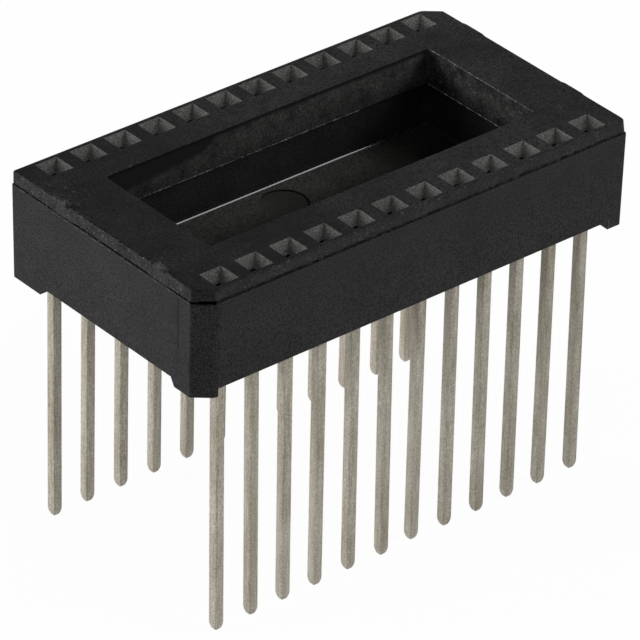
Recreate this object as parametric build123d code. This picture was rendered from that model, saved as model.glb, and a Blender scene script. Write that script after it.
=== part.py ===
"""Dual-in-line socket for a wide package, with wire-wrap posts.

A moulded body holds two rows of stamped contacts in cavities round an open well. A moulded
cover with a lead-in funnel over each contact is staked on top of it. Millimetres: +X runs
along the rows, +Y from the front row to the back row, and +Z out of the board. The origin is
the centre of the contact grid on the seating plane, where the feet stand on the board.
"""
import os
from math import atan2, degrees, hypot, radians, tan

from build123d import *

# Contact grid
contacts_per_row = 12
pitch = 2.54
row_spacing = 15.24

# Body moulding, outside
body_end_margin = 2.23  # last contact to the end face, at the seam
body_side_margin = 1.18  # contact row to the long face, at the seam
body_height = 5.8  # underside to seam
wall_draft = 0.5  # degrees, all four outer walls narrow downwards
corner_cut_length = 1.1  # along X, off the front left and back right corners
corner_cut_width = 0.92  # along Y
corner_cut_blend = 0.15  # where each cut meets an end
corner_cut_side_blend = 0.7  # where each cut meets a long side
corner_radius = 0.12  # the other two corners

# Feet
foot_height = 0.55
foot_length = 1.05  # along X, on the board
foot_width = 2.6  # along Y, on the board
foot_side_angle = 45.0  # of the sides that face along the socket
foot_end_angle = 60.0  # of the sides that face across it
corner_foot_length = 1.35  # along X, past the cut at the two cut corners
corner_foot_width = 2.35  # along Y

# Well in the middle of the body
well_floor_thickness = 1.1
well_corner_radius = 0.5
well_floor_fillet = 0.3
ejector_mark_diameter = 2.95
ejector_mark_depth = 0.05
ejector_mark_offset = 3.35  # centre line to each mark, across the socket

# Cavities
cavity_length = 1.7  # along the row
cavity_width = 1.4  # across the row
cavity_floor_thickness = 1.1
post_hole_clearance = 0.03

# Cover moulding
cover_thickness = 0.9
cover_inset = 0.05  # the cover stands back from the edge of the body
cover_edge_break = 0.08
seam_gap = 0.13  # along the two long sides
end_seam_gap = 0.06
seam_depth = 0.35
corner_seam_drop = 0.1  # the body stands lower at the two cut corners
window_end_margin = 3.8  # end of the cover to the window
window_row_margin = 2.77  # contact row to the window
window_corner_radius = 0.2
skirt_thickness = 0.4
skirt_depth = 2.4  # below the top face
skirt_clearance = 0.04

# Lead-in funnels
funnel_mouth = 1.62
funnel_depth = 0.8
lead_hole = 0.66

# Stakes: tabs of the end walls that pass up through notches in the cover
stake_places = (4.05, -4.95)  # along Y on the left end; the right end is turned half a turn
stake_width = 1.35
stake_thickness = 0.4
stake_flare = 0.1  # countersink that the flattened head fills
stake_head_break = 0.07
left_head_height = 0.22
right_head_height = 0.06
stake_clearance = 0.03

# Contacts
post_size = 0.635
post_length = 17.21  # below the seating plane
tip_length = 0.7
tip_size = 0.28
base_length = 1.5
base_height = 0.9
barb_reach = 0.08
barb_bottom = 0.3
barb_top = 0.7
leaf_thickness = 0.2
leaf_root_width = 1.15
leaf_tip_width = 0.8
leaf_root_overlap = 0.25
leaf_top_clearance = 0.2  # leaf tips to the underside of the cover
leaf_bow = 0.49  # centre line of the leaf from the lead plane, at its widest
leaf_bow_height = 0.9  # above the base
leaf_pinch_gap = 0.16
leaf_pinch_drop = 0.85  # below the leaf tips
leaf_mouth = 0.42
leaf_bend_radius = 0.45

# Worked-out sizes
grid_length = (contacts_per_row - 1) * pitch
body_length = grid_length + 2 * body_end_margin
body_width = row_spacing + 2 * body_side_margin
cover_length = body_length - 2 * cover_inset
cover_width = body_width - 2 * cover_inset
window_length = cover_length - 2 * window_end_margin
window_width = row_spacing - 2 * window_row_margin
skirt_length = window_length + 2 * skirt_thickness
skirt_width = window_width + 2 * skirt_thickness

# Heights above the seating plane
seam_z = foot_height + body_height
top_z = seam_z + cover_thickness
well_floor_z = foot_height + well_floor_thickness
cavity_floor_z = foot_height + cavity_floor_thickness


def contact_centres():
    """Places in package order: along the front row to the right, then back along the other."""
    front = [((i * pitch) - grid_length / 2, -row_spacing / 2) for i in range(contacts_per_row)]
    back = [(-x, -y) for x, y in front]
    return front + back


def outline(length, width):
    """Plan of both mouldings: two opposite corners cut off, the other two hardly rounded."""
    corner = Polygon((0, 0), (corner_cut_length, 0), (0, corner_cut_width), align=None)
    front_left = Pos(-length / 2, -width / 2) * corner
    plan = Rectangle(length, width) - [front_left, Rot(0, 0, 180) * front_left]
    at_side = (width - corner_cut_width) / 2
    at_end = (length - corner_cut_length / 2) / 2
    cuts = plan.vertices().filter_by(lambda v: v.X * v.Y > 0)
    plan = fillet(cuts.filter_by(lambda v: abs(v.Y) > at_side), corner_cut_side_blend)
    cuts = plan.vertices().filter_by(lambda v: v.X * v.Y > 0)
    plan = fillet(cuts.filter_by(lambda v: abs(v.X) > at_end), corner_cut_blend)
    return fillet(plan.vertices().filter_by(lambda v: v.X * v.Y < 0), corner_radius)


def prism(plan, bottom, top):
    """A plan raised from one height to another."""
    return Pos(0, 0, bottom) * extrude(plan, amount=top - bottom)


def wedge(plane, low, low_z, high, high_z, depth):
    """A prism across a plane whose width changes evenly from one height to another."""
    corners = [(-low / 2, low_z), (low / 2, low_z), (high / 2, high_z), (-high / 2, high_z)]
    return extrude(plane * Polygon(*corners, align=None), amount=depth / 2, both=True)


def frustum(low, low_z, high, high_z):
    """A flat-sided block that changes from one length and width to another: crossed wedges."""
    length = wedge(Plane.XZ, low[0], low_z, high[0], high_z, max(low[1], high[1]))
    width = wedge(Plane.YZ, low[1], low_z, high[1], high_z, max(low[0], high[0]))
    return length & width


def draft_inset():
    """How far the outer walls move in from the seam to the board."""
    return seam_z * tan(radians(wall_draft))


def drafted_block():
    """Outer form of the body down to the feet, narrower at the bottom."""
    foot_plan = outline(body_length - 2 * draft_inset(), body_width - 2 * draft_inset())
    seam_plan = Pos(0, 0, seam_z) * outline(body_length, body_width)
    return loft([foot_plan, seam_plan], ruled=True)


def underside_reliefs():
    """The spaces between the feet, along and across, with sloping sides.

    The feet at the two cut corners reach further along the socket, where they end square, and
    less far across it.
    """
    x = body_length / 2 - draft_inset()
    y = body_width / 2 - draft_inset()
    side_slope = foot_height / tan(radians(foot_side_angle))
    end_slope = foot_height / tan(radians(foot_end_angle))
    foot_reach = foot_length + side_slope
    along = 2 * (x - foot_length)
    across = 2 * (y - foot_width)
    lengthwise = wedge(Plane.XZ, along, 0, along - 2 * side_slope, foot_height, body_width)
    crosswise = wedge(Plane.YZ, across, 0, across - 2 * end_slope, foot_height, body_length)
    at_corner = wedge(Plane.YZ, across, 0, across - 2 * end_slope, foot_height, 2 * foot_reach)
    corner_width = 2 * (foot_width + end_slope)
    kept = prism(Rectangle(2 * corner_foot_length, corner_width), 0, foot_height)
    cleared = prism(Rectangle(foot_reach - corner_foot_length, corner_width), 0, foot_height)
    middle = x - (foot_reach + corner_foot_length) / 2
    spaces = [crosswise]
    for side in (1, -1):
        lengthwise -= Pos(side * x, side * y) * kept
        spaces.append(Pos(side * middle, side * y) * cleared)
        spaces.append(Pos(side * x, side * (foot_width - corner_foot_width)) * at_corner)
    return [lengthwise] + spaces


def well_space():
    """The open well: rounded corners and a filleted foot."""
    plan = RectangleRounded(
        skirt_length + 2 * skirt_clearance, skirt_width + 2 * skirt_clearance, well_corner_radius
    )
    space = prism(plan, well_floor_z, seam_z)
    return fillet(space.edges().group_by(Axis.Z)[0], well_floor_fillet)


def ejector_marks():
    """Shallow round prints in the floor of the well, one each side of the centre line."""
    disc = prism(Circle(ejector_mark_diameter / 2), well_floor_z - ejector_mark_depth, seam_z)
    return [Pos(0, side * ejector_mark_offset) * disc for side in (1, -1)]


def cavity_space():
    """Pocket for one contact, with the square hole that its post passes through."""
    hole = post_size + 2 * post_hole_clearance
    pocket = prism(Rectangle(cavity_length, cavity_width), cavity_floor_z, seam_z)
    return pocket + prism(Rectangle(hole, hole), foot_height, cavity_floor_z)


def stake(place, head_height, clearance=0.0):
    """One staked tab on the left end, or with a clearance the notch that it fills.

    The tab rises flush with the end of the cover, flares into the countersink and ends in a
    flattened head.
    """
    depth = stake_thickness + clearance
    width = stake_width + 2 * clearance
    flared_depth = depth + stake_flare
    flared_width = width + 2 * stake_flare
    shank = prism(Rectangle(2 * depth, width), seam_z, top_z)
    flare = frustum((2 * depth, width), top_z - stake_flare, (2 * flared_depth, flared_width), top_z)
    head = prism(Rectangle(2 * flared_depth, flared_width), top_z, top_z + head_height)
    if clearance == 0:
        reach = min(stake_head_break, head_height / 2)
        head = chamfer(head.edges().group_by(Axis.Z)[-1], reach)
    inside = prism(
        Rectangle(cover_length, cover_width, align=(Align.MIN, Align.CENTER)),
        seam_z,
        top_z + head_height,
    )
    return Pos(-cover_length / 2, place) * ((shank + flare + head) & inside)


def stakes(clearance=0.0):
    """Stakes of both ends: the right end is the left one turned by half a turn."""
    left = [stake(place, left_head_height, clearance) for place in stake_places]
    right = [Rot(0, 0, 180) * stake(place, right_head_height, clearance) for place in stake_places]
    return left + right


def corner_drops():
    """Low places in the top of the body under the two cut corners of the cover."""
    cut_face = hypot(corner_cut_length, corner_cut_width)
    turn = -degrees(atan2(corner_cut_width, corner_cut_length))
    drop = prism(Rectangle(cut_face, 2 * seam_depth), seam_z - corner_seam_drop, seam_z)
    x = (body_length - corner_cut_length) / 2
    y = (body_width - corner_cut_width) / 2
    return [Pos(side * x, side * y) * Rot(0, 0, turn) * drop for side in (1, -1)]


def make_body():
    """Lower moulding: well, feet, contact cavities and staking tabs."""
    cavities = [Pos(x, y) * cavity_space() for x, y in contact_centres()]
    body = drafted_block() - underside_reliefs() - well_space() - ejector_marks()
    return body - corner_drops() - cavities + stakes()


def seam_space():
    """The gap under the rim of the cover, narrower at the two ends."""
    rim = outline(cover_length, cover_width)
    seat = outline(cover_length - 2 * seam_depth, cover_width - 2 * seam_depth)
    long_sides = Rectangle(cover_length - 2 * seam_depth, cover_width)
    low = prism(rim - seat, seam_z, seam_z + end_seam_gap)
    return low + prism((rim - seat) & long_sides, seam_z, seam_z + seam_gap)


def funnel_space():
    """Square pyramid that guides one lead, and the hole below it."""
    waist_z = top_z - funnel_depth
    mouth = frustum((lead_hole, lead_hole), waist_z, (funnel_mouth, funnel_mouth), top_z)
    return mouth + prism(Rectangle(lead_hole, lead_hole), seam_z, waist_z)


def make_cover():
    """Upper moulding: plate with funnels, window and the skirt that locates it in the well."""
    plate = prism(outline(cover_length, cover_width), seam_z, top_z)
    plate = chamfer(plate.edges().group_by(Axis.Z)[-1], cover_edge_break)
    skirt = prism(
        RectangleRounded(skirt_length, skirt_width, well_corner_radius), top_z - skirt_depth, seam_z
    )
    window = prism(
        RectangleRounded(window_length, window_width, window_corner_radius),
        top_z - skirt_depth,
        top_z,
    )
    funnels = [Pos(x, y) * funnel_space() for x, y in contact_centres()]
    return plate + skirt - window - seam_space() - stakes(stake_clearance) - funnels


def contact_blank():
    """Flat base of the contact, wider than the post hole, with a barb on each edge."""
    half = base_length / 2
    edge = [
        (0, 0),
        (half, 0),
        (half, barb_bottom),
        (half + barb_reach, barb_top),
        (half, barb_top),
        (half, base_height),
        (0, base_height),
    ]
    side = make_face(Polyline(*edge, close=True))
    profile = Plane.XZ * Pos(0, cavity_floor_z) * (side + mirror(side, Plane.YZ))
    return extrude(profile, amount=post_size / 2, both=True)


def contact_leaves():
    """Two spring leaves that bow out, pinch the lead and flare open at the top."""
    root_z = cavity_floor_z + base_height - leaf_root_overlap
    bow_z = cavity_floor_z + base_height + leaf_bow_height
    tip_z = seam_z - leaf_top_clearance
    line = FilletPolyline(
        ((post_size - leaf_thickness) / 2, root_z),
        (leaf_bow, bow_z),
        ((leaf_pinch_gap + leaf_thickness) / 2, tip_z - leaf_pinch_drop),
        (leaf_mouth, tip_z),
        radius=leaf_bend_radius,
    )
    leaf = extrude(Plane.YZ * trace(line, leaf_thickness), amount=leaf_root_width / 2, both=True)
    width_limit = wedge(
        Plane.XZ,
        leaf_root_width,
        root_z - leaf_thickness,
        leaf_tip_width,
        tip_z + leaf_thickness,
        cavity_width,
    )
    return (leaf + mirror(leaf, Plane.XZ)) & width_limit


def contact_post():
    """Square wrap post with a tapered tip."""
    shank = prism(Rectangle(post_size, post_size), tip_length - post_length, cavity_floor_z)
    tip = frustum(
        (tip_size, tip_size), -post_length, (post_size, post_size), tip_length - post_length
    )
    return shank + tip


def make_contact():
    """One stamped contact on the origin's axis."""
    return contact_post() + contact_blank() + contact_leaves()


os.makedirs("parts", exist_ok=True)
export_step(make_body(), "parts/body.step")
export_step(make_cover(), "parts/cover.step")
contact = make_contact()
for number, (x, y) in enumerate(contact_centres(), start=1):
    export_step(Pos(x, y) * contact, f"parts/contact_{number:02d}.step")
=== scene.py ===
# %% [markdown]
# # A chip socket with wrap posts, dressed for a studio picture
#
# The socket is a dark moulded body with a staked cover, and twenty-four square tinned posts
# under it. The imported model gives every piece its size and place. This lesson adds what a
# drawing leaves out: rounded and worn edges, the frosted lead-in funnels, the smeared heads of
# the stakes, the drawn grain of the tin plate, and the light of a white photo table.
#
# The model is loaded first, and it stays where it is. The box round it is kept; the dressed
# socket has to fill the same space.

# %% Load the imported model
import math

import bmesh
import bpy
import numpy as np
from mathutils import Matrix, Vector


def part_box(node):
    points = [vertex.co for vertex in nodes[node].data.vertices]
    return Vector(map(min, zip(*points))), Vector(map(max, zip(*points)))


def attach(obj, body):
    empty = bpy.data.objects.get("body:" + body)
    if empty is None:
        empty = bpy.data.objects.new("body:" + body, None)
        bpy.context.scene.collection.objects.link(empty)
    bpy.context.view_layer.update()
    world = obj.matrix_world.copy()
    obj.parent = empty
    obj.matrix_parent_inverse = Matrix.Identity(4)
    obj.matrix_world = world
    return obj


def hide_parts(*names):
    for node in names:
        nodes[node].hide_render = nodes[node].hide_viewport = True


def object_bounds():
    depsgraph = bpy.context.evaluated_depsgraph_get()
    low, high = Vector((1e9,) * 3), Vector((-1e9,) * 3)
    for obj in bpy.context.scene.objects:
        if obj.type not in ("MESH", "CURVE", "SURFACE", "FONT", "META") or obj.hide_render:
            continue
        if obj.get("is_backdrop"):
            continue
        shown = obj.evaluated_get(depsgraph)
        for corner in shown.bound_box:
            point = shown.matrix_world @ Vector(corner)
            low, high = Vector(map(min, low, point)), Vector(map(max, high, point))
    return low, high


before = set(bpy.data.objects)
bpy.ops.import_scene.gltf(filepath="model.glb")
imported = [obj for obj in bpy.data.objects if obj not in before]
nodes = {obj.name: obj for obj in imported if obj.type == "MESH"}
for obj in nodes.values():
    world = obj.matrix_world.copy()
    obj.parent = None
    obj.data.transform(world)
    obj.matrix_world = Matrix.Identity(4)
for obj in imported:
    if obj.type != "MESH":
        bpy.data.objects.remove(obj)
cad_low, cad_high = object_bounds()
print("nodes loaded:", len(nodes))

# %% [markdown]
# ## Sizes
#
# Blender works in metres, and a socket is made in tenths of a millimetre, so one value, `mm`,
# turns drawing sizes into Blender's. The main places are read from the boxes of the model's own
# pieces. Only what no box tells, such as the thickness of the cover, is written down here.

# %% Places read from the model
mm = 0.001
cover_low, cover_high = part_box("cover")
body_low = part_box("body")[0]
contact_names = sorted(name for name in nodes if name.startswith("contact"))
top_z = cover_high.z
cover_thickness = 0.9 * mm
seam_z = top_z - cover_thickness
foot_height = 0.55 * mm
window_half_x = cover_high.x - 3.8 * mm
window_half_y = 4.85 * mm
skirt_bottom_z = top_z - 2.4 * mm
stake_places = (4.05 * mm, -4.95 * mm)  # along Y on the left end; the right end is turned round
ejector_place = 3.35 * mm  # along Y, on both sides
ejector_radius = 1.475 * mm
print("top of the cover: %.2f mm, contacts: %d" % (top_z / mm, len(contact_names)))

# %% [markdown]
# ## The camera
#
# The picture was taken with a long lens from the front left, a little over thirty degrees up.
# A long lens keeps the rows of posts almost parallel, which is how catalogue pictures of small
# parts look. The camera is placed like a real one: a direction, a distance, and a point to aim
# at, which lies below the middle of the cover because the posts hang down. The slight roll is
# that of a camera on a tripod that isn't quite level.

# %% Place the camera
azimuth = math.radians(-40.601)
elevation = math.radians(32.280)
roll = math.radians(1.538)
camera_distance = 340.368 * mm
aim_below = 10.295 * mm
aim_right = -0.144 * mm
focal_share = 9.0699  # focal length over the width of the picture
sensor_width = 36.0

backward = Vector((
    math.sin(azimuth) * math.cos(elevation),
    -math.cos(azimuth) * math.cos(elevation),
    math.sin(elevation),
))
level_right = Vector((math.cos(azimuth), math.sin(azimuth), 0.0))
level_up = backward.cross(level_right)
right = math.cos(roll) * level_right + math.sin(roll) * level_up
up = math.cos(roll) * level_up - math.sin(roll) * level_right

camera_data = bpy.data.cameras.new("camera")
camera_data.sensor_width = sensor_width
camera_data.lens = sensor_width * focal_share
camera_data.clip_start = 0.01
camera_data.clip_end = 10.0
camera = bpy.data.objects.new("camera", camera_data)
bpy.context.scene.collection.objects.link(camera)
aim = Vector((0.0, 0.0, top_z)) + aim_right * right - aim_below * up
turn = Matrix((right, up, backward)).transposed().to_4x4()
camera.matrix_world = Matrix.Translation(aim + camera_distance * backward) @ turn
bpy.context.scene.camera = camera
print("lens: %.1f mm" % camera_data.lens)

# %% [markdown]
# ## Helpers for meshes
#
# A surface here is an array of points, row by row, worked out for the whole piece at once. One
# helper turns such a grid into a mesh: neighbouring points make a face, and a grid that closes
# on itself, such as the wall of a post, also joins its last column to its first. A cap is one
# flat face over the first or last row.

# %% Turn a grid of points into a mesh
def grid_faces(rows, columns, closed):
    """Corner numbers of the quads between neighbouring rows and columns."""
    across = columns if closed else columns - 1
    row, column = np.meshgrid(np.arange(rows - 1), np.arange(across), indexing="ij")
    beside = (column + 1) % columns
    corners = [row * columns + column, row * columns + beside,
               (row + 1) * columns + beside, (row + 1) * columns + column]
    return np.stack(corners, axis=-1).reshape(-1, 4)


def make_object(name, shells, closed=True):
    """One mesh object from shells, each a grid of points and the faces between them."""
    points, faces, start = [], [], 0
    for grid, shell_faces in shells:
        points.append(grid.reshape(-1, 3))
        faces += [[start + corner for corner in face] for face in shell_faces]
        start += len(points[-1])
    mesh = bpy.data.meshes.new(name)
    mesh.from_pydata(np.concatenate(points).tolist(), [], faces)
    mesh.validate()
    if closed:
        shape = bmesh.new()
        shape.from_mesh(mesh)
        bmesh.ops.recalc_face_normals(shape, faces=shape.faces)
        shape.to_mesh(mesh)
        shape.free()
    piece = bpy.data.objects.new(name, mesh)
    bpy.context.scene.collection.objects.link(piece)
    return piece


def tube(grid):
    """A closed shell: a wall that closes round, with a cap on its first and last row."""
    rows, columns = grid.shape[:2]
    faces = grid_faces(rows, columns, closed=True).tolist()
    faces.append(list(range(columns))[::-1])
    faces.append(list(range((rows - 1) * columns, rows * columns)))
    return grid, faces

# %% [markdown]
# ## Helpers for materials
#
# Every finish is a small network of nodes. The helper below adds one node, sets the sockets
# that are plain values, and joins those that are outputs of earlier nodes, so that a material
# reads as a short list of steps. All patterns start from object coordinates, counted in
# millimetres, because then a grain that measures a tenth of a millimetre on the part is a
# feature of that size in the pattern too.

# %% Nodes in one line each
def add(tree, kind, sockets=None, **settings):
    """A new node with its settings and sockets filled in; an output given for a socket is joined."""
    node = tree.nodes.new(kind)
    for key, value in settings.items():
        setattr(node, key, value)
    for key, value in (sockets or {}).items():
        if isinstance(value, bpy.types.NodeSocket):
            tree.links.new(value, node.inputs[key])
        else:
            node.inputs[key].default_value = value
    return node


def calculate(tree, operation, *values):
    """The result of one step of arithmetic on plain values and outputs."""
    return add(tree, "ShaderNodeMath", dict(enumerate(values)), operation=operation).outputs[0]


def product(tree, first, second):
    """Two masks multiplied: 1 only where both are."""
    return calculate(tree, "MULTIPLY", first, second)


def near(tree, value, middle, reach):
    """A mask that is 1 where the value lies within reach of the middle."""
    return calculate(tree, "COMPARE", value, middle, reach)


def distance_to(tree, place, middle):
    """How far a place is from a middle."""
    sockets = {0: place, 1: middle}
    return add(tree, "ShaderNodeVectorMath", sockets, operation="DISTANCE").outputs["Value"]


def scaled(tree, colour, factor):
    """A colour multiplied by a plain value or an output."""
    sockets = {0: colour, "Scale": factor}
    return add(tree, "ShaderNodeVectorMath", sockets, operation="SCALE").outputs["Vector"]


def stretch(tree, place, scale):
    """Coordinates multiplied by a scale along X, Y and Z."""
    return add(tree, "ShaderNodeMapping", {"Vector": place, "Scale": scale}).outputs["Vector"]


def new_finish(name):
    """An empty material with its main shader, and the object coordinates in millimetres."""
    material = bpy.data.materials.new(name)
    material.use_nodes = True
    tree = material.node_tree
    shader = tree.nodes["Principled BSDF"]
    place = add(tree, "ShaderNodeTexCoord").outputs["Object"]
    return material, tree, shader, stretch(tree, place, (1 / mm, 1 / mm, 1 / mm))


def noise(tree, place, scale, detail=2.0, roughness=0.5):
    """Cloudy noise between 0 and 1 with so many features to the millimetre."""
    sockets = {"Vector": place, "Scale": scale, "Detail": detail, "Roughness": roughness}
    return add(tree, "ShaderNodeTexNoise", sockets).outputs["Fac"]


def blend_values(tree, factor, low, high, start=0.0, end=1.0):
    """Low where the factor is at its start, high where it is at its end."""
    sockets = {"Value": factor, "From Min": start, "From Max": end, "To Min": low, "To Max": high}
    return add(tree, "ShaderNodeMapRange", sockets).outputs["Result"]


def spots(tree, place, scale, start, end, roughness=0.75):
    """A mask that is 1 in scattered spots, where noise has risen from its start past its end."""
    return blend_values(tree, noise(tree, place, scale, 4.0, roughness), 0.0, 1.0, start, end)


def blend_colours(tree, factor, first, second):
    """The first colour where the factor is 0, the second where it is 1."""
    sockets = {0: factor, 6: first, 7: second}
    return add(tree, "ShaderNodeMix", sockets, data_type="RGBA").outputs[2]


def bump(tree, height, metres):
    """A normal that tilts as if the height, from 0 to 1, were so many metres tall."""
    return add(tree, "ShaderNodeBump", {"Height": height, "Distance": metres}).outputs["Normal"]


def grey(level, warmth=0.0):
    """A nearly neutral colour; warmth moves it from blue towards brown."""
    return (level * (1 + warmth), level * (1 + 0.5 * warmth), level * (1 - warmth), 1.0)

# %% [markdown]
# ## The black moulding
#
# The body and the cover are moulded from a glass-filled resin. Such a surface is dark but not
# black, with the fine even grain that the mould's steel gives it. The grain is under a tenth of
# a millimetre across and shallow, so it scatters light rather than showing as bumps. A much
# broader cloud of the same colour keeps a large face from looking like flat paint.
#
# One recipe makes every resin finish here. The well is smooth and glossy, the lead-in funnels
# and the skirt are left frosted by the spark-eroded steel, and the ends of the cover are a little
# paler and bluer where the stakes were pressed, which is a painted sheen of the smoother resin there.

# %% Finish of the mouldings
def moulding_finish(name, level, roughness, warmth=0.0, contrast=0.8, cloud_share=0.2,
                    cloud_scale=0.35, grain_height=0.02 * mm, specular=0.1):
    """Dark resin with a fine grain and slow changes of tone."""
    material, tree, shader, place = new_finish(name)
    grain = noise(tree, place, 10.0, detail=2.0, roughness=0.6)
    cloud = noise(tree, place, cloud_scale, detail=4.0, roughness=0.6)
    low, high = grey(level * (1 - contrast), warmth), grey(level * (1 + contrast), warmth)
    colour = blend_colours(tree, blend_values(tree, grain, 0.0, 1.0, 0.36, 0.64), low, high)
    tone = blend_values(tree, cloud, 1 - cloud_share, 1 + cloud_share, 0.3, 0.7)
    tree.links.new(scaled(tree, colour, tone), shader.inputs["Base Color"])
    dull = blend_values(tree, grain, roughness - 0.06, roughness + 0.06, 0.3, 0.7)
    tree.links.new(dull, shader.inputs["Roughness"])
    tree.links.new(bump(tree, grain, grain_height), shader.inputs["Normal"])
    shader.inputs["Specular IOR Level"].default_value = specular
    return material


def overlay(finish, mask, colour):
    """Lays a second colour over a finish where the mask is 1."""
    tree = finish.node_tree
    socket = tree.nodes["Principled BSDF"].inputs["Base Color"]
    tree.links.new(blend_colours(tree, mask, socket.links[0].from_socket, colour), socket)


def shade(finish, factor):
    """Makes a finish paler or darker by a factor that may change from place to place."""
    tree = finish.node_tree
    socket = tree.nodes["Principled BSDF"].inputs["Base Color"]
    tree.links.new(scaled(tree, socket.links[0].from_socket, factor), socket)


def coordinates(finish):
    """The tree of a finish, its coordinates in millimetres, and those split in X, Y and Z."""
    tree = finish.node_tree
    place = tree.nodes["Mapping"].outputs["Vector"]
    axes = add(tree, "ShaderNodeSeparateXYZ", {"Vector": place})
    return tree, place, axes.outputs


body_finish = moulding_finish("body_moulding", 0.012, 0.5, contrast=0.95)
cover_finish = moulding_finish("cover_moulding", 0.0098, 0.55, warmth=0.02, contrast=0.95,
                               cloud_share=0.4)
funnel_finish = moulding_finish("funnel_walls", 0.085, 0.7, warmth=0.02, contrast=0.4)
floor_finish = moulding_finish("well_floor", 0.046, 0.35, warmth=0.04, contrast=0.6,
                               grain_height=0.006 * mm)
wall_finish = moulding_finish("well_wall", 0.016, 0.4, contrast=0.6, grain_height=0.004 * mm,
                              specular=0.05)
fillet_finish = moulding_finish("well_fillet", 0.012, 0.12, grain_height=0.0, specular=0.5)
skirt_finish = moulding_finish("skirt_texture", 0.028, 0.7, warmth=0.02, contrast=0.5,
                               cloud_share=0.8, cloud_scale=1.1)
back_skirt_finish = moulding_finish("back_skirt_texture", 0.026, 0.7, warmth=0.02, contrast=0.5,
                                    cloud_share=0.5, cloud_scale=0.8)
end_finish = moulding_finish("pressed_end", 0.0155, 0.6, contrast=0.6, cloud_share=0.6,
                             cloud_scale=1.2)
strip_finish = moulding_finish("cover_front", 0.0145, 0.55, warmth=-0.02, contrast=0.6,
                               cloud_share=0.45, cloud_scale=0.6)
edge_finish = moulding_finish("worn_edge", 0.009, 0.5)
# A painted highlight: the highest parts of the raised heads are paler.
rim_highlight_finish = moulding_finish("stake_rim_highlight", 0.04, 0.6)
# Pale flash, partly a painted highlight of the edges that it lies along.
flash_and_highlight_finish = moulding_finish("resin_flash_and_highlight", 0.13, 0.6)
print("resin finishes:", len([m for m in bpy.data.materials if m.node_tree]))

# %% [markdown]
# ## Marks on the resin
#
# Wear and moulding marks are colours laid over the plain finishes, where a mask is 1. A mask is
# worked out from the place on the part: a thin line where two halves of the mould met, the seam
# where it crosses the smeared heads, scuffs near the pressed end, and pale specks along the edges
# where grains of glass came loose. Some pale marks are painted light: a broken pale line just under
# the seam and an upright line on the right foot are painted highlights of edges, and the pale
# patches on the pressed end are a painted sheen.
#
# The tone of a finish can also change slowly from place to place. The top of the cover is darker
# towards its pressed end. The floor of the well is darker in its middle, away from its long walls,
# and towards its far end, and the skirt at its upper and lower edges: this is painted shade.

# %% Lines and painted highlights on the body
# All places in the masks are in millimetres.
top, seam_at, skirt_bottom = top_z / mm, seam_z / mm, skirt_bottom_z / mm
left_x = cover_low.x / mm
mould_line_y = -6.6
highlight_line_x = 15.2
line_black = grey(0.001)

# The mould line wanders a little and fades towards the feet.
tree, place, (x, y, z) = coordinates(body_finish)
left_end = blend_values(tree, x, 1.0, 0.0, cad_low.x / mm + 0.4, cad_low.x / mm + 0.5)
wobble = noise(tree, place, 1.5, detail=3.0)
mould_line = near(tree, calculate(tree, "MULTIPLY_ADD", wobble, 0.25, y), mould_line_y, 0.075)
fading = product(tree, left_end, blend_values(tree, z, 0.15, 1.0, 1.8, 3.0))
overlay(body_finish, product(tree, mould_line, fading), line_black)

# Under the seam a broken pale line: a painted highlight where the body's top edge catches light.
under_seam = product(tree, near(tree, z, seam_at - 0.05, 0.05), left_end)
broken = spots(tree, place, 1.6, 0.5, 0.58, roughness=0.7)
overlay(body_finish, product(tree, under_seam, broken), grey(0.06))

# A pale upright line on the front of the right foot: a painted highlight along the foot's edge.
low_down = blend_values(tree, z, 0.9, 0.0, 0.6, 0.75)
on_foot = product(tree, low_down, blend_values(tree, y, 1.0, 0.0, -8.0, -7.9))
overlay(body_finish, product(tree, near(tree, x, highlight_line_x, 0.04), on_foot), grey(0.05))

# %% Scuffs on the cover, and the painted sheen of the pressed end
tree, place, (x, y, z) = coordinates(cover_finish)
shade(cover_finish, blend_values(tree, x, 0.85, 1.5, -7.5, -1.0))
scuff = spots(tree, stretch(tree, place, (1.0, 0.5, 1.0)), 5.0, 0.56, 0.66)
flat = add(tree, "ShaderNodeCombineXYZ", {"X": x, "Y": y}).outputs[0]
for middle_y, reach in ((4.6, 2.2), (-4.9, 1.5)):
    away = distance_to(tree, flat, (left_x + 1.0, middle_y, 0.0))
    near_stake = blend_values(tree, away, 0.9, 0.0, 0.3 * reach, reach)
    overlay(cover_finish, product(tree, scuff, near_stake), grey(0.06))

# Where the stakes were pressed, the end face is paler and bluer, with an uneven border: a painted
# sheen of the smoother pressed resin.
tree, place, (x, y, z) = coordinates(end_finish)
wander = noise(tree, place, 2.0, detail=3.0)
for middle_y in (3.95, -5.1):
    away = calculate(tree, "ABSOLUTE", calculate(tree, "SUBTRACT", y, middle_y))
    away = calculate(tree, "MULTIPLY_ADD", wander, 0.8, away)
    overlay(end_finish, blend_values(tree, away, 0.85, 0.0, 0.85, 1.1), grey(0.021, -0.04))
overlay(end_finish, near(tree, z, seam_at + 0.03, 0.045), line_black)

# %% The floor of the well, with painted shade, and the discs left by two ejector pins
tree, place, (x, y, z) = coordinates(floor_finish)
# Painted shade: the floor is darker in its middle, away from its long walls.
off_middle = calculate(tree, "ABSOLUTE", y)
shade(floor_finish, blend_values(tree, off_middle, 0.47, 1.05, 1.9, 4.0))
flat = add(tree, "ShaderNodeCombineXYZ", {"X": x, "Y": y}).outputs[0]
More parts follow.
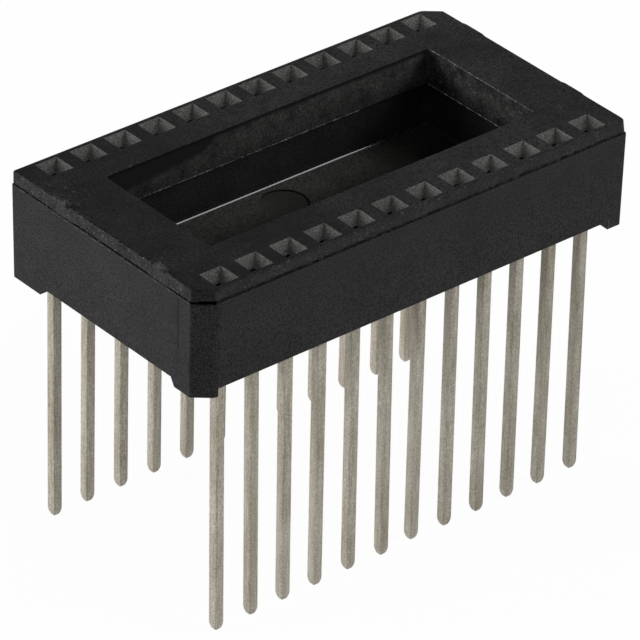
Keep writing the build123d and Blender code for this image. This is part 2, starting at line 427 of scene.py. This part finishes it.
# Each disc is a little darker than the floor, its own tone, and more so towards its far right side,
# where its edge also has a black line: painted shade of the shallow step.
slant = 0.35  # the discs show better towards their far right side, along this slope
disc_radius = ejector_radius / mm
for side in (1, -1):
    middle = (0.0, side * ejector_place / mm, 0.0)
    away = distance_to(tree, flat, middle)
    sockets = {0: flat, 1: (1.0, slant, 0.0)}
    slanting = add(tree, "ShaderNodeVectorMath", sockets, operation="DOT_PRODUCT").outputs["Value"]
    level = slant * middle[1]
    far = blend_values(tree, slanting, 0.1, 0.9, level - 0.9, level + 0.7)
    inside = blend_values(tree, away, 0.7, 0.0, disc_radius - 0.15, disc_radius)
    stronger = blend_values(tree, far, 0.35, 0.9)
    overlay(floor_finish, product(tree, inside, stronger), grey(0.016))
    overlay(floor_finish, product(tree, near(tree, away, disc_radius, 0.07), far), grey(0.002))
# Painted shade towards the far end, beside the right wall.
shade(floor_finish, blend_values(tree, x, 1.0, 0.35, 7.0, 10.0))

# %% The skirt round the well, with painted shade
tree, place, (x, y, z) = coordinates(skirt_finish)
# Painted shade along the lower and the upper edge of the skirt.
shade(skirt_finish, blend_values(tree, z, 0.45, 1.0, skirt_bottom + 0.35, skirt_bottom + 1.1))
shade(skirt_finish, blend_values(tree, z, 1.0, 0.7, top - 1.0, top - 0.5))

# Painted shade darkens the upper part of the back wall, deep at the left and thin from there on.
tree, place, (x, y, z) = coordinates(back_skirt_finish)
wander = noise(tree, place, 2.5, detail=3.0)
step = blend_values(tree, x, 0.75, -0.1, -5.2, -3.8)
slope = blend_values(tree, x, 0.45, 0.0, -10.0, -5.0)
depth = calculate(tree, "MULTIPLY_ADD", wander, 0.5, calculate(tree, "ADD", step, slope))
above = calculate(tree, "SUBTRACT", z, calculate(tree, "SUBTRACT", top, depth))
overlay(back_skirt_finish, blend_values(tree, above, 0.0, 1.0, -0.25, 0.15), grey(0.008))
# More painted shade along the lower edge of the back wall, and a thin dark line under its top edge.
shade(back_skirt_finish, blend_values(tree, z, 0.85, 1.2, skirt_bottom + 0.35, skirt_bottom + 1.1))
shade(back_skirt_finish, blend_values(tree, z, 1.0, 0.45, top - 0.32, top - 0.12))

# %% Pale specks
for finish, pale in (
    (edge_finish, 0.08), (end_finish, 0.09), (strip_finish, 0.05), (funnel_finish, 0.16),
    (skirt_finish, 0.09),
):
    tree, place, axes = coordinates(finish)
    overlay(finish, spots(tree, place, 5.0, 0.58, 0.68), grey(pale))

# %% [markdown]
# ## The body and the cover
#
# Both mouldings already have their shape. A real edge is never sharp, though: it is rounded by
# the mould and then worn, and that thin line is what makes a dark part readable. So each
# moulding is copied, its loose triangles are joined, its flat faces are cleaned, and a Bevel
# modifier rounds its edges. Corners closer than a fortieth of a millimetre are joined too,
# because an edge shorter than the rounding would turn inside out, and a small step beside the
# feet is levelled, because it would leave a sliver in the long faces. A weight on each edge says
# by how much it is rounded: fully outside, less round the window and the funnels, and not at all
# where two pieces meet in one face.
#
# One corner of the cover, at the front right, is worn rounder than the others. There the points
# of its small arcs are moved onto wider ones.

# %% Copy a moulding and round its edges
edge_radius = 0.05 * mm
step_low = foot_height - 0.085 * mm
step_high = foot_height - 0.005 * mm
face_y = 8.7 * mm  # only the long faces, farther out than this, have the step


def merged_copy(node, name, highest=None):
    """A copy of a node's mesh with its step levelled, close corners joined and flat faces clean.

    Points above the highest place allowed are pressed down to it.
    """
    mesh = nodes[node].data.copy()
    mesh.name = name
    mesh.materials.clear()
    points = np.empty(len(mesh.vertices) * 3)
    mesh.vertices.foreach_get("co", points)
    points = points.reshape(-1, 3)
    if highest is not None:
        points[:, 2] = np.minimum(points[:, 2], highest)
    step = (points[:, 2] > step_low) & (points[:, 2] < step_high) & (abs(points[:, 1]) > face_y)
    points[step, 2] = foot_height
    mesh.vertices.foreach_set("co", points.ravel())
    shape = bmesh.new()
    shape.from_mesh(mesh)
    bmesh.ops.remove_doubles(shape, verts=shape.verts, dist=0.025 * mm)
    bmesh.ops.dissolve_degenerate(shape, dist=0.0005 * mm, edges=shape.edges)
    bmesh.ops.dissolve_limit(shape, angle_limit=math.radians(0.2), verts=shape.verts,
                             edges=shape.edges, delimit={"NORMAL"})
    shape.to_mesh(mesh)
    shape.free()
    piece = bpy.data.objects.new(name, mesh)
    bpy.context.scene.collection.objects.link(piece)
    return piece


def centres_and_normals(mesh):
    """Middle and direction of every face, as two arrays in millimetres and unit lengths."""
    centres = np.empty(len(mesh.polygons) * 3)
    normals = np.empty(len(mesh.polygons) * 3)
    mesh.polygons.foreach_get("center", centres)
    mesh.polygons.foreach_get("normal", normals)
    return centres.reshape(-1, 3) / mm, normals.reshape(-1, 3)


def round_edges(piece, edge_slot, share_at):
    """Rounds each outward edge sharper than thirty degrees, as far as share_at says of its middle."""
    shape = bmesh.new()
    shape.from_mesh(piece.data)
    weight = shape.edges.layers.float.new("bevel_weight_edge")
    for edge in shape.edges:
        if edge.is_convex and edge.calc_face_angle(0.0) > math.radians(30.0):
            edge[weight] = share_at((edge.verts[0].co + edge.verts[1].co) / (2 * mm))
    shape.to_mesh(piece.data)
    shape.free()
    bevel = piece.modifiers.new("rounded_edges", "BEVEL")
    bevel.width = edge_radius
    bevel.segments = 2
    bevel.limit_method = "WEIGHT"
    bevel.use_clamp_overlap = False
    bevel.material = edge_slot


def finish_piece(piece, slot, *replaced):
    """The piece moves with the socket and stands for the nodes named, which are hidden. The slot is
    not used.
    """
    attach(piece, "root")
    if replaced:
        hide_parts(*replaced)
    print(piece.name, "faces:", len(piece.data.polygons))


def at_stake(middle):
    """Whether a point, in millimetres, lies at one of the four stakes."""
    along = middle.y if middle.x < 0 else -middle.y
    beside = min(abs(along - place / mm) for place in stake_places) < 1.0
    return beside and abs(middle.x) > cover_high.x / mm - 0.7 and middle.z > seam_at - 0.2


def in_window(x, y, margin):
    """Whether places, in millimetres, lie in the window or within a margin round it."""
    return (abs(x) < window_half_x / mm + margin) & (abs(y) < window_half_y / mm + margin)

# %% Dress the body
well_margin = 1.0  # the well is wider than the window by less than this, in millimetres
wall, floor, fillet, body_edge = range(1, 5)  # numbers of the finishes, as they are added below


def body_edge_share(middle):
    """Full outside; none at the stakes, under the feet and in the well."""
    in_well = in_window(middle.x, middle.y, well_margin)
    return 0.0 if at_stake(middle) or in_well or middle.z < foot_height / mm + 0.1 else 1.0


body = merged_copy("body", "body_moulding", highest=top_z - 0.01 * mm)
for finish in (body_finish, wall_finish, floor_finish, fillet_finish, edge_finish):
    body.data.materials.append(finish)
centres, normals = centres_and_normals(body.data)
in_well = in_window(centres[:, 0], centres[:, 1], well_margin)
in_well &= (centres[:, 2] > foot_height / mm + 0.2) & (centres[:, 2] < seam_at - 0.01)
steepness = np.digitize(normals[:, 2], [0.1, 0.9])
kind = np.choose(steepness, [wall, fillet, floor])
kind[(kind == fillet) & (abs(normals[:, 0]) > 0.02)] = wall
body.data.polygons.foreach_set("material_index", np.where(in_well, kind, 0).astype(np.int32))
round_edges(body, body_edge, body_edge_share)
finish_piece(body, "body_plastic", "body")

# %% Dress the cover
rim_margin = 0.1  # millimetres round the window, or in from the outer faces
funnel, skirt, back_skirt, pressed_end, front_strip, cover_edge = range(1, 7)


def cover_edge_share(middle):
    """Full outside, less in the window and the funnels, none at the stakes."""
    over_row = window_half_y / mm + 0.5 < abs(middle.y) < cover_high.y / mm - 0.2
    if at_stake(middle):
        return 0.0
    if in_window(middle.x, middle.y, rim_margin):
        return 0.25 if middle.y > 0 else 0.5
    return 0.5 if over_row else 1.0


def widen_corner(mesh, radius, at_top, below):
    """Widens the rounding of the front right corner, by one radius at the top and another below."""
    for vertex in mesh.vertices:
        across = vertex.co.x - (cover_high.x - radius)
        along = -vertex.co.y - (cover_high.y - radius)
        if min(across, along) > -0.03 * mm:
            wider = at_top if vertex.co.z > top_z - 0.1 * mm else below
            grown = 1.0 + (wider - radius) / math.hypot(across, along)
            vertex.co.x = cover_high.x - wider + across * grown
            vertex.co.y = wider - cover_high.y - along * grown


cover = merged_copy("cover", "cover_moulding")
widen_corner(cover.data, radius=0.12 * mm, at_top=0.42 * mm, below=0.2 * mm)
for finish in (cover_finish, funnel_finish, skirt_finish, back_skirt_finish, end_finish,
               strip_finish, edge_finish):
    cover.data.materials.append(finish)
centres, normals = centres_and_normals(cover.data)
kind = np.zeros(len(centres), np.int32)
upright = abs(normals[:, 2]) < 0.1
sloping = (normals[:, 2] > 0.3) & (normals[:, 2] < 0.7)
facing_left, facing_front = normals[:, 0] < -0.9, normals[:, 1] < -0.9
round_window = upright & in_window(centres[:, 0], centres[:, 1], rim_margin)
kind[sloping & (centres[:, 2] < top - 0.1)] = funnel
kind[round_window] = skirt
kind[round_window & facing_front] = back_skirt
kind[upright & facing_left & (centres[:, 0] < left_x + rim_margin)] = pressed_end
kind[upright & facing_front & (centres[:, 1] < cover_low.y / mm + rim_margin)] = front_strip
cover.data.polygons.foreach_set("material_index", kind)
round_edges(cover, cover_edge, cover_edge_share)
finish_piece(cover, "cover_plastic", "cover")

# %% [markdown]
# ## The smeared heads of the stakes
#
# At each end two tabs of the body pass up through notches in the cover, and a hot tool flattened
# them. On the left end the resin was pushed into low lumps that hide the notches; on the right
# end it was pressed flush. Each head is a patch that wraps over the edge of the cover. It stands
# proud over the stake and dips below the faces of the cover all round, so its outline is ragged
# and no border shows.

# %% Random bumps
def ripple(random, across, along, size, waves=9):
    """Smooth random bumps between about -1 and 1: sine waves of about one size, in all directions."""
    total = np.zeros(np.broadcast(across, along).shape)
    for _ in range(waves):
        turn, phase = random.uniform(0, 2 * np.pi, 2)
        pace = 2 * np.pi / (size * random.uniform(0.6, 1.6))
        total += np.sin(pace * (across * np.cos(turn) + along * np.sin(turn)) + phase)
    return total / waves**0.5


def smooth(value):
    """0 below 0, 1 above 1, and an S-shaped curve between."""
    value = np.clip(value, 0.0, 1.0)
    return value * value * (3 - 2 * value)


# %% One smeared head
edge_break = 0.08 * mm
smear_half = 1.25 * mm
smear_rows, smear_columns = 72, 44
smear_skin = 0.15 * mm  # how far the patch reaches into the moulding
smear_dip = 0.03 * mm
smear_rise = 0.025 * mm
smear_fade = 0.3 * mm  # the width over which the plateau sinks into the faces round it
plateau_half = 1.15 * mm
plateau_reach = 0.9 * mm


def smear(end, place, hump_places, hump_heights, rise, random):
    """A closed patch over one stake; end is -1 at the left and 1 at the right.

    Its rows run along the edge, and its columns climb the end face, turn over the broken edge and
    run in over the top. The height over those faces is an S-shaped plateau over the stake, plus
    humps along the edge whose heights are joined by straight lines, plus random bumps.
    """
    path = np.linspace(0.0, 1.9, smear_columns) * mm
    corner_at = cover_thickness - edge_break
    turns = [0.0, corner_at, corner_at + 1.4 * edge_break, path[-1]]
    inward = np.interp(path, turns, [0.0, 0.0, edge_break, edge_break + turns[3] - turns[2]])
    up = np.interp(path, turns, [-cover_thickness, -edge_break, 0.0, 0.0])
    tilt = smooth((path - corner_at + 0.15 * mm) / (0.4 * mm)) * np.pi / 2
    along = np.linspace(-smear_half, smear_half, smear_rows)[:, None]
    over_stake = smooth((plateau_half - abs(along)) / smear_fade)
    over_top = smooth((corner_at + plateau_reach - path) / smear_fade)
    if end > 0:
        over_top = over_top * smooth((path - corner_at) / (0.05 * mm))
    hump = np.interp(along, np.array(hump_places) * mm, hump_heights)
    at_edge = np.exp(-((path - corner_at - 0.14 * mm) / (0.15 * mm)) ** 2)
    bumps = ripple(random, along, path, 0.4 * mm)
    height = smear_dip + smear_rise + rise * (hump * at_edge + (0.03 + 0.07 * at_edge) * bumps)
    height = height * over_stake * over_top - smear_dip
    inside = np.full_like(height, -smear_skin)
    loops = [height, inside[:, ::-1]]
    x, y, z = [], [], []
    for index, lift in enumerate(loops):
        order = slice(None, None, -1) if index else slice(None)
        x.append(end * (cover_high.x - inward + lift[:, order] * np.cos(tilt))[:, order])
        z.append((top_z + up + lift[:, order] * np.sin(tilt))[:, order])
        y.append(np.broadcast_to(end * -place + along, lift.shape))
    grid = np.stack([np.concatenate(part, axis=1) for part in (x, y, z)], axis=-1)
    return tube(grid)


# %% Make the four heads
random = np.random.default_rng(7)
left_rise = 0.32 * mm
right_rise = 0.02 * mm
left_humps = (
    ([-0.58, -0.5, -0.35, 0.1, 0.9], [0.0, 0.9, 1.0, 0.35, 0.1]),
    ([-0.6, -0.45, -0.1, 0.3, 0.6], [0.0, 0.85, 1.0, 0.6, 0.05]),
)
heads = make_object("stake_heads", [
    smear(-1, place, hump_places, hump_heights, left_rise, random)
    for place, (hump_places, hump_heights) in zip(stake_places, left_humps)
])
flush = make_object("flush_stake_heads", [
    smear(1, place, [-1.0, 1.0], [0.1, 0.1], right_rise, random) for place in stake_places
])
for piece in (heads, flush):
    for finish in (cover_finish, end_finish, rim_highlight_finish):
        piece.data.materials.append(finish)
    centres, normals = centres_and_normals(piece.data)
    # The lips of the left heads take the pressed end's finish, with its painted sheen, and their
    # highest parts the rim finish, a painted highlight.
    lip = (centres[:, 0] < left_x + 0.35) & (centres[:, 2] > top + 0.06)
    raised = lip | (centres[:, 0] < left_x + 0.12)
    rim = lip & (centres[:, 2] > top + 0.2)
    piece.data.polygons.foreach_set("material_index", raised.astype(np.int32) + rim)
    piece.data.shade_smooth()
    finish_piece(piece, "body_plastic")

# %% [markdown]
# ## Flash and crumbs
#
# Where two halves of a mould meet, a little resin squeezes out and leaves a ragged pale thread
# along the edge, called flash. On this part it runs round the window and along the pressed end,
# and crumbs of it cling near the corner. The pale tone of the threads round the window and of the
# crumbs is partly flash and partly a painted highlight, the thin light that those edges catch.
# A thread is a thin bead whose radius wanders at random; a crumb is a small blunt lump.

# %% Threads of flash
def flash(start, end, size, random):
    """A ragged bead along a straight edge: its radius is joined up between random heights."""
    start, end = np.array(start), np.array(end)
    length = np.linalg.norm(end - start)
    share = np.linspace(0.0, 1.0, int(length / (0.07 * mm)))
    knots = int(length / (0.2 * mm)) + 2
    swelling = np.interp(share, np.linspace(0, 1, knots), random.uniform(0, 1, knots) ** 2)
    radius = size * (0.15 + 0.85 * swelling)
    turn = np.arange(6) * np.pi / 3
    along = (end - start) / length
    across = np.array([-along[1], along[0], 0.0])
    ring = np.cos(turn)[:, None] * across + np.sin(turn)[:, None] * np.array([0.0, 0.0, 1.0])
    line = start + share[:, None] * (end - start)
    return tube(line[:, None, :] + radius[:, None, None] * ring)


def crumb(centre, size, random):
    """A blunt lump: a ball with random radii, stretched differently along X, Y and Z."""
    latitude = np.linspace(-1.2, 1.2, 5)[:, None]
    longitude = np.arange(6) * np.pi / 3
    radius = size * random.uniform(0.55, 1.0, (5, 6))
    ball = np.stack([
        radius * np.cos(latitude) * np.cos(longitude),
        radius * np.cos(latitude) * np.sin(longitude),
        radius * np.sin(latitude),
    ], axis=-1)
    return tube(np.array(centre) + ball * random.uniform(0.6, 1.3, 3))


def crumbs(start, end, count, size, random):
    """So many crumbs at random places along a line."""
    start, end = np.array(start), np.array(end)
    return [crumb(start + random.uniform() * (end - start), size * random.uniform(0.4, 1.0), random)
            for _ in range(count)]


# %% Lay the flash along its edges
random = np.random.default_rng(31)
end_x = cover_low.x + 0.03 * mm
window_x, window_y, side_y, low_z = window_half_x, window_half_y, 4.7 * mm, skirt_bottom_z
# The threads round the window and the crumbs take the pale finish, which paints the highlight of these
# edges as well as flash.
threads = make_object("flash_threads", [
    flash((window_x, -side_y, top_z), (window_x, side_y, top_z), 0.04 * mm, random),
    flash((window_x, -side_y, low_z), (window_x, side_y, low_z), 0.055 * mm, random),
    flash((-12.0 * mm, window_y, low_z), (7.0 * mm, window_y, low_z), 0.035 * mm, random),
])
corner_x, corner_y = cover_low.x + 1.1 * mm, cover_low.y + 0.05 * mm
rim_z, strip_z = top_z - 0.05 * mm, top_z - 0.08 * mm
head_x, head_z = end_x + 0.1 * mm, top_z + 0.3 * mm
front_x, front_y = 14.0 * mm, -8.44 * mm
loose = make_object("resin_crumbs", [
    *crumbs((end_x, 8.0 * mm, seam_z), (end_x, -7.8 * mm, seam_z), 40, 0.045 * mm, random),
    *crumbs((end_x, 8.0 * mm, rim_z), (end_x, -7.0 * mm, rim_z), 20, 0.06 * mm, random),
    *crumbs((head_x, 3.75 * mm, head_z), (end_x, 3.5 * mm, top_z), 5, 0.07 * mm, random),
    *crumbs((head_x, -4.8 * mm, head_z), (end_x, -5.4 * mm, top_z), 5, 0.07 * mm, random),
    *crumbs((-front_x, front_y, top_z), (front_x, front_y, top_z), 9, 0.055 * mm, random),
    *crumbs((corner_x, corner_y, seam_z - 0.1 * mm), (-11.0 * mm, corner_y, seam_z), 9, 0.05 * mm,
            random),
    *crumbs((corner_x, corner_y, strip_z), (-10.0 * mm, corner_y, strip_z), 6, 0.06 * mm, random),
    *crumbs((window_x, 0.0, top_z), (window_x, -4.5 * mm, top_z), 4, 0.07 * mm, random),
    *crumbs((-12.0 * mm, window_y, top_z), (-8.0 * mm, window_y, top_z), 4, 0.05 * mm, random),
])
seam_x, seam_middle = cover_high.x - 0.1 * mm, seam_z + 0.07 * mm
seam = make_object("seam_threads", [
    flash((corner_x, corner_y, seam_middle), (seam_x, corner_y, seam_middle), 0.08 * mm, random),
    flash((-corner_x, -corner_y, seam_middle), (-seam_x, -corner_y, seam_middle), 0.08 * mm, random),
])
far_y, near_y = 8.3 * mm, -7.6 * mm
edge_x, lip_z = body_low.x + 0.04 * mm, seam_z - 0.02 * mm
ragged = make_object("ragged_end", [
    flash((end_x, far_y, rim_z), (end_x, near_y, rim_z), 0.09 * mm, random),
    flash((edge_x, far_y, lip_z), (edge_x, near_y, lip_z), 0.07 * mm, random),
])
for piece, finish in (
    (threads, flash_and_highlight_finish), (loose, flash_and_highlight_finish), (seam, body_finish), (ragged, end_finish),
):
    piece.data.materials.append(finish)
    finish_piece(piece, "cover_plastic")

# %% [markdown]
# ## Tin plate
#
# The contacts are stamped from bronze strip, and tin is plated over them. Old tin is a warm,
# dull grey. Its grain runs along the post, because the wire was drawn that way, and the plate is
# thinner and browner in patches. The pattern is squeezed along the post's height, so that each
# spot of noise becomes a streak. Painted shade also changes with the place of the post: the front
# row grows a little darker from left to right, where the posts shade each other, and the back row
# is the palest.

# %% Finish of the contacts
def tin_finish():
    """Dull tin: fine grain, long drawn streaks, slow brownish changes and a few dark pits."""
    material, tree, shader, place = new_finish("tin_plate")
    streak = noise(tree, stretch(tree, place, (1.0, 1.0, 0.06)), 7.0, detail=3.0, roughness=0.6)
    patch = noise(tree, stretch(tree, place, (1.0, 1.0, 0.3)), 0.5, detail=3.0)
    grain = noise(tree, place, 8.0, detail=2.0, roughness=0.7)
    pit = noise(tree, place, 3.0, detail=4.0, roughness=0.7)
    bright, brown = (0.4, 0.37, 0.31, 1.0), (0.25, 0.222, 0.165, 1.0)
    dark = (0.09, 0.08, 0.06, 1.0)
    tone = calculate(tree, "ADD", streak, patch)
    colour = blend_colours(tree, blend_values(tree, tone, 0.0, 1.0, 0.8, 1.25), bright, brown)
    colour = scaled(tree, colour, blend_values(tree, grain, 0.65, 1.35, 0.3, 0.7))
    colour = blend_colours(tree, blend_values(tree, pit, 0.0, 0.6, 0.66, 0.74), colour, dark)
    tree.links.new(colour, shader.inputs["Base Color"])
    tree.links.new(blend_values(tree, streak, 0.4, 0.56, 0.3, 0.7), shader.inputs["Roughness"])
    height = calculate(tree, "ADD", streak, grain)
    tree.links.new(bump(tree, height, 0.012 * mm), shader.inputs["Normal"])
    shader.inputs["Metallic"].default_value = 0.25
    # Painted shade along the rows: the front row darker towards the right, the back row nearly as it
    # is.
    tree, place, (x, y, z) = coordinates(material)
    row_half = 14.0
    front_row_shade = blend_values(tree, x, 0.92, 0.8, -row_half, row_half)
    shade(material, blend_values(tree, y, front_row_shade, 0.98, -1.0, 1.0))
    return material


tin = tin_finish()

# %% [markdown]
# ## The contacts
#
# Below the body each contact is a square post with slightly rounded corners and a blunt, coined
# tip. Inside it widens to a base with two barbs that bite into the cavity, and two thin leaves
# rise from the base, bow out, pinch together and open again at the top. Post and base are one
# shape: a rounded rectangle carried up the contact's axis, with a half length and a half width
# that change with the height. A leaf is a thin strip carried along a bent line.
#
# No two posts of a real socket are quite straight. Here the first posts of the front row lean
# along the row by about a quarter of a millimetre, the others by less, each a little
# differently. A post is stiff and leans from its root, so the lean grows evenly with the depth.

# %% The outline of a post and the places along it
post_half = 0.3175 * mm
tip_half = 0.09 * mm
tip_length = 0.58 * mm
corner_steps = 3
cavity_floor_z = foot_height + 1.1 * mm
base_top_z = cavity_floor_z + 0.9 * mm
base_half = 0.75 * mm
barb_half = 0.83 * mm
barb_bottom_z = cavity_floor_z + 0.3 * mm
barb_top_z = cavity_floor_z + 0.7 * mm


def rounded_rectangle(half_x, half_y, radius):
    """Closed loops of points, one for each pair of half sizes, with quarter circles as corners."""
    sweep = np.linspace(0.0, np.pi / 2, corner_steps)
    angle = np.concatenate([sweep + quarter * np.pi / 2 for quarter in range(4)])
    side_x = np.repeat([1, -1, -1, 1], corner_steps)
    side_y = np.repeat([1, 1, -1, -1], corner_steps)
    radius = np.minimum(radius, np.minimum(half_x, half_y) * 0.9)[:, None]
    x = side_x * (half_x[:, None] - radius) + radius * np.cos(angle)
    y = side_y * (half_y[:, None] - radius) + radius * np.sin(angle)
    return x, y


def contact_stem(x, y, tip_z, lean_x, lean_y, corner):
    """Post and base in one wall: a rounded rectangle whose half sizes follow the height.

    The tip follows a quarter of an ellipse from its blunt end to the full post.
    """
    share = np.linspace(0.0, 1.0, 7)
    tip = tip_half + (post_half - tip_half) * np.sqrt(1 - (1 - share) ** 1.5)
    shank_z = np.linspace(tip_z + tip_length, cavity_floor_z, 15)[1:]
    z = np.concatenate([
        tip_z + share * tip_length,
        shank_z,
        [cavity_floor_z, barb_bottom_z, barb_top_z, barb_top_z, base_top_z],
    ])
    half_x = np.concatenate([
        tip, np.full(len(shank_z), post_half), [base_half, base_half, barb_half, base_half, base_half],
    ])
    half_y = np.concatenate([tip, np.full(len(shank_z) + 5, post_half)])
    px, py = rounded_rectangle(half_x, half_y, np.full(len(z), corner))
    depth = np.clip((foot_height - z) / (foot_height - tip_z), 0.0, 1.0)[:, None]
    height = np.broadcast_to(z[:, None], px.shape)
    grid = np.stack([x + px + lean_x * depth, y + py + lean_y * depth, height], axis=-1)
    return tube(grid)


# %% The spring leaves
leaf_half_thickness = 0.1 * mm
leaf_root_half = 0.575 * mm
leaf_tip_half = 0.4 * mm
leaf_bends = np.array([0.2175, 0.2175, 0.49, 0.18, 0.42]) * mm  # centre line from the lead's plane
leaf_top_z = seam_z - 0.2 * mm


def contact_leaf(x, y, side):
    """One leaf: a flat strip carried up a line that bows out, pinches in and flares.

    The line passes through the bends of the leaf on smooth half waves of a cosine.
    """
    bend_z = np.array([
        base_top_z - 0.25 * mm, base_top_z, base_top_z + 0.9 * mm, leaf_top_z - 0.85 * mm, leaf_top_z,
    ])
    steps = 6
    stage = np.linspace(0, len(bend_z) - 1, steps * (len(bend_z) - 1) + 1)
    span = np.minimum(stage.astype(int), len(bend_z) - 2)
    part = stage - span
    ease = (1 - np.cos(np.pi * part)) / 2
    z = bend_z[span] + part * (bend_z[span + 1] - bend_z[span])
    out = leaf_bends[span] + ease * (leaf_bends[span + 1] - leaf_bends[span])
    slope = np.gradient(out, z)
    tilt = np.arctan(slope)[:, None]
    share = ((z - z[0]) / (z[-1] - z[0]))[:, None]
    half = leaf_root_half + (leaf_tip_half - leaf_root_half) * share
    across, through = rounded_rectangle(
        half[:, 0], np.full(len(z), leaf_half_thickness), np.full(len(z), 0.04 * mm)
    )
    px = x + across
    py = y + side * (out[:, None] + through * np.cos(tilt))
    pz = z[:, None] - through * np.sin(tilt)
    grid = np.stack([px, py, pz], axis=-1)
    return tube(grid if side > 0 else grid[:, ::-1])


# %% Make all twenty-four contacts
random = np.random.default_rng(13091)
first_lean = 0.24 * mm
other_lean = 0.08 * mm
post_corner = 0.06 * mm
row_end = max(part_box(name)[1].x for name in contact_names)
for name in contact_names:
    low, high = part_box(name)
    x, y = (low.x + high.x) / 2, (low.y + high.y) / 2
    lean_x, lean_y = random.uniform(-other_lean, other_lean, 2)
    if y < 0:
        lean_x += first_lean * ((row_end - x) / (2 * row_end)) ** 2
    contact = make_object(name.replace("contact", "pin"), [
        contact_stem(x, y, low.z, lean_x, lean_y, post_corner),
        contact_leaf(x, y, 1),
        contact_leaf(x, y, -1),
    ])
    contact.data.materials.append(tin)
    contact.data.shade_smooth()
    contact.data.set_sharp_from_angle(angle=math.radians(35.0))
    finish_piece(contact, "contact_metal", name)

# %% [markdown]
# ## The table and the light
#
# The part stands on its post tips on a white table that curves up far away, so that no horizon
# shows from any side. The table stays white to the camera and in reflections, and keeps a trace
# of the socket's shadow. The light is that of a photo tent: a large soft light at the left, which
# makes the end face and the left sides of the posts the brightest, a second one at the front
# right, which draws the bright line along the foot of the well, and an even pale surrounding.

# %% The white table
white_share = 0.96  # how much of the table is its own white, and not lit, where it is seen
white, black = grey(1.0), grey(0.0)


def table_finish():
    """White paper: mostly its own plain white to the camera and in reflections, partly lit."""
    material, tree, shader, place = new_finish("white_table")
    fibre = noise(tree, place, 0.6, detail=4.0)
    tone = blend_values(tree, fibre, 0.88, 0.92)
    colour = blend_colours(tree, tone, black, white)
    tree.links.new(colour, shader.inputs["Base Color"])
    shader.inputs["Roughness"].default_value = 0.9
    light_path = add(tree, "ShaderNodeLightPath")
    seen = light_path.outputs["Is Camera Ray"]
    for kind in ("Is Glossy Ray", "Is Transmission Ray"):
        seen = calculate(tree, "ADD", seen, light_path.outputs[kind])
    share = blend_values(tree, seen, 0.0, white_share)
    own = add(tree, "ShaderNodeEmission", {"Color": white, "Strength": 1.0})
    sockets = {0: share, 1: shader.outputs["BSDF"], 2: own.outputs["Emission"]}
    mixed = add(tree, "ShaderNodeMixShader", sockets)
    output = tree.nodes["Material Output"]
    tree.links.new(mixed.outputs["Shader"], output.inputs["Surface"])
    return material


def cove(flat, bend, z):
    """A round table whose rim turns up in a quarter circle: rings of growing radius."""
    rise = np.linspace(0.0, np.pi / 2, 9)
    radius = np.concatenate([[0.001, 0.05, 0.2, 1.0], flat + bend * np.sin(rise)])
    height = np.concatenate([[z] * 4, z + bend * (1 - np.cos(rise))])
    turn = np.linspace(0.0, 2 * np.pi, 65)[:-1]
    grid = np.stack(np.broadcast_arrays(
        radius[:, None] * np.cos(turn), radius[:, None] * np.sin(turn), height[:, None]
    ), axis=-1)
    faces = grid_faces(len(radius), len(turn), closed=True).tolist()
    return grid, faces + [list(range(len(turn)))]


table_radius, table_bend = 2.5, 0.5
table = make_object("table", [cove(table_radius, table_bend, cad_low.z)], closed=False)
table.data.materials.append(table_finish())
table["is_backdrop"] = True

# %% The lights
def soft_light(name, direction, distance, size, power):
    """A square area light at a distance from the socket, turned to face it."""
    data = bpy.data.lights.new(name, "AREA")
    data.size = size
    data.energy = power
    light = bpy.data.objects.new(name, data)
    light.location = Vector(direction).normalized() * distance
    light.rotation_mode = "QUATERNION"
    light.rotation_quaternion = Vector(direction).to_track_quat("Z", "Y")
    light.visible_camera = False
    bpy.context.scene.collection.objects.link(light)
    return light


soft_light("left_light", (-0.8, 0.6, 0.08), distance=0.6, size=0.5, power=6.4)
soft_light("front_light", (0.55, -0.66, 0.5), distance=0.6, size=0.3, power=1.9)

world = bpy.data.worlds.new("tent")
world.use_nodes = True
surrounding = world.node_tree.nodes["Background"]
surrounding.inputs["Color"].default_value = white
surrounding.inputs["Strength"].default_value = 0.43
bpy.context.scene.world = world
bpy.context.scene.view_settings.view_transform = "Standard"

# %% [markdown]
# ## The size of the dressed socket
#
# The dressed socket must fill the same space as the model. Its size is printed.

# %% Print the size of the dressed socket
low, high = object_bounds()
print("dressed size: %.2f x %.2f x %.2f mm" % tuple((high - low) / mm))
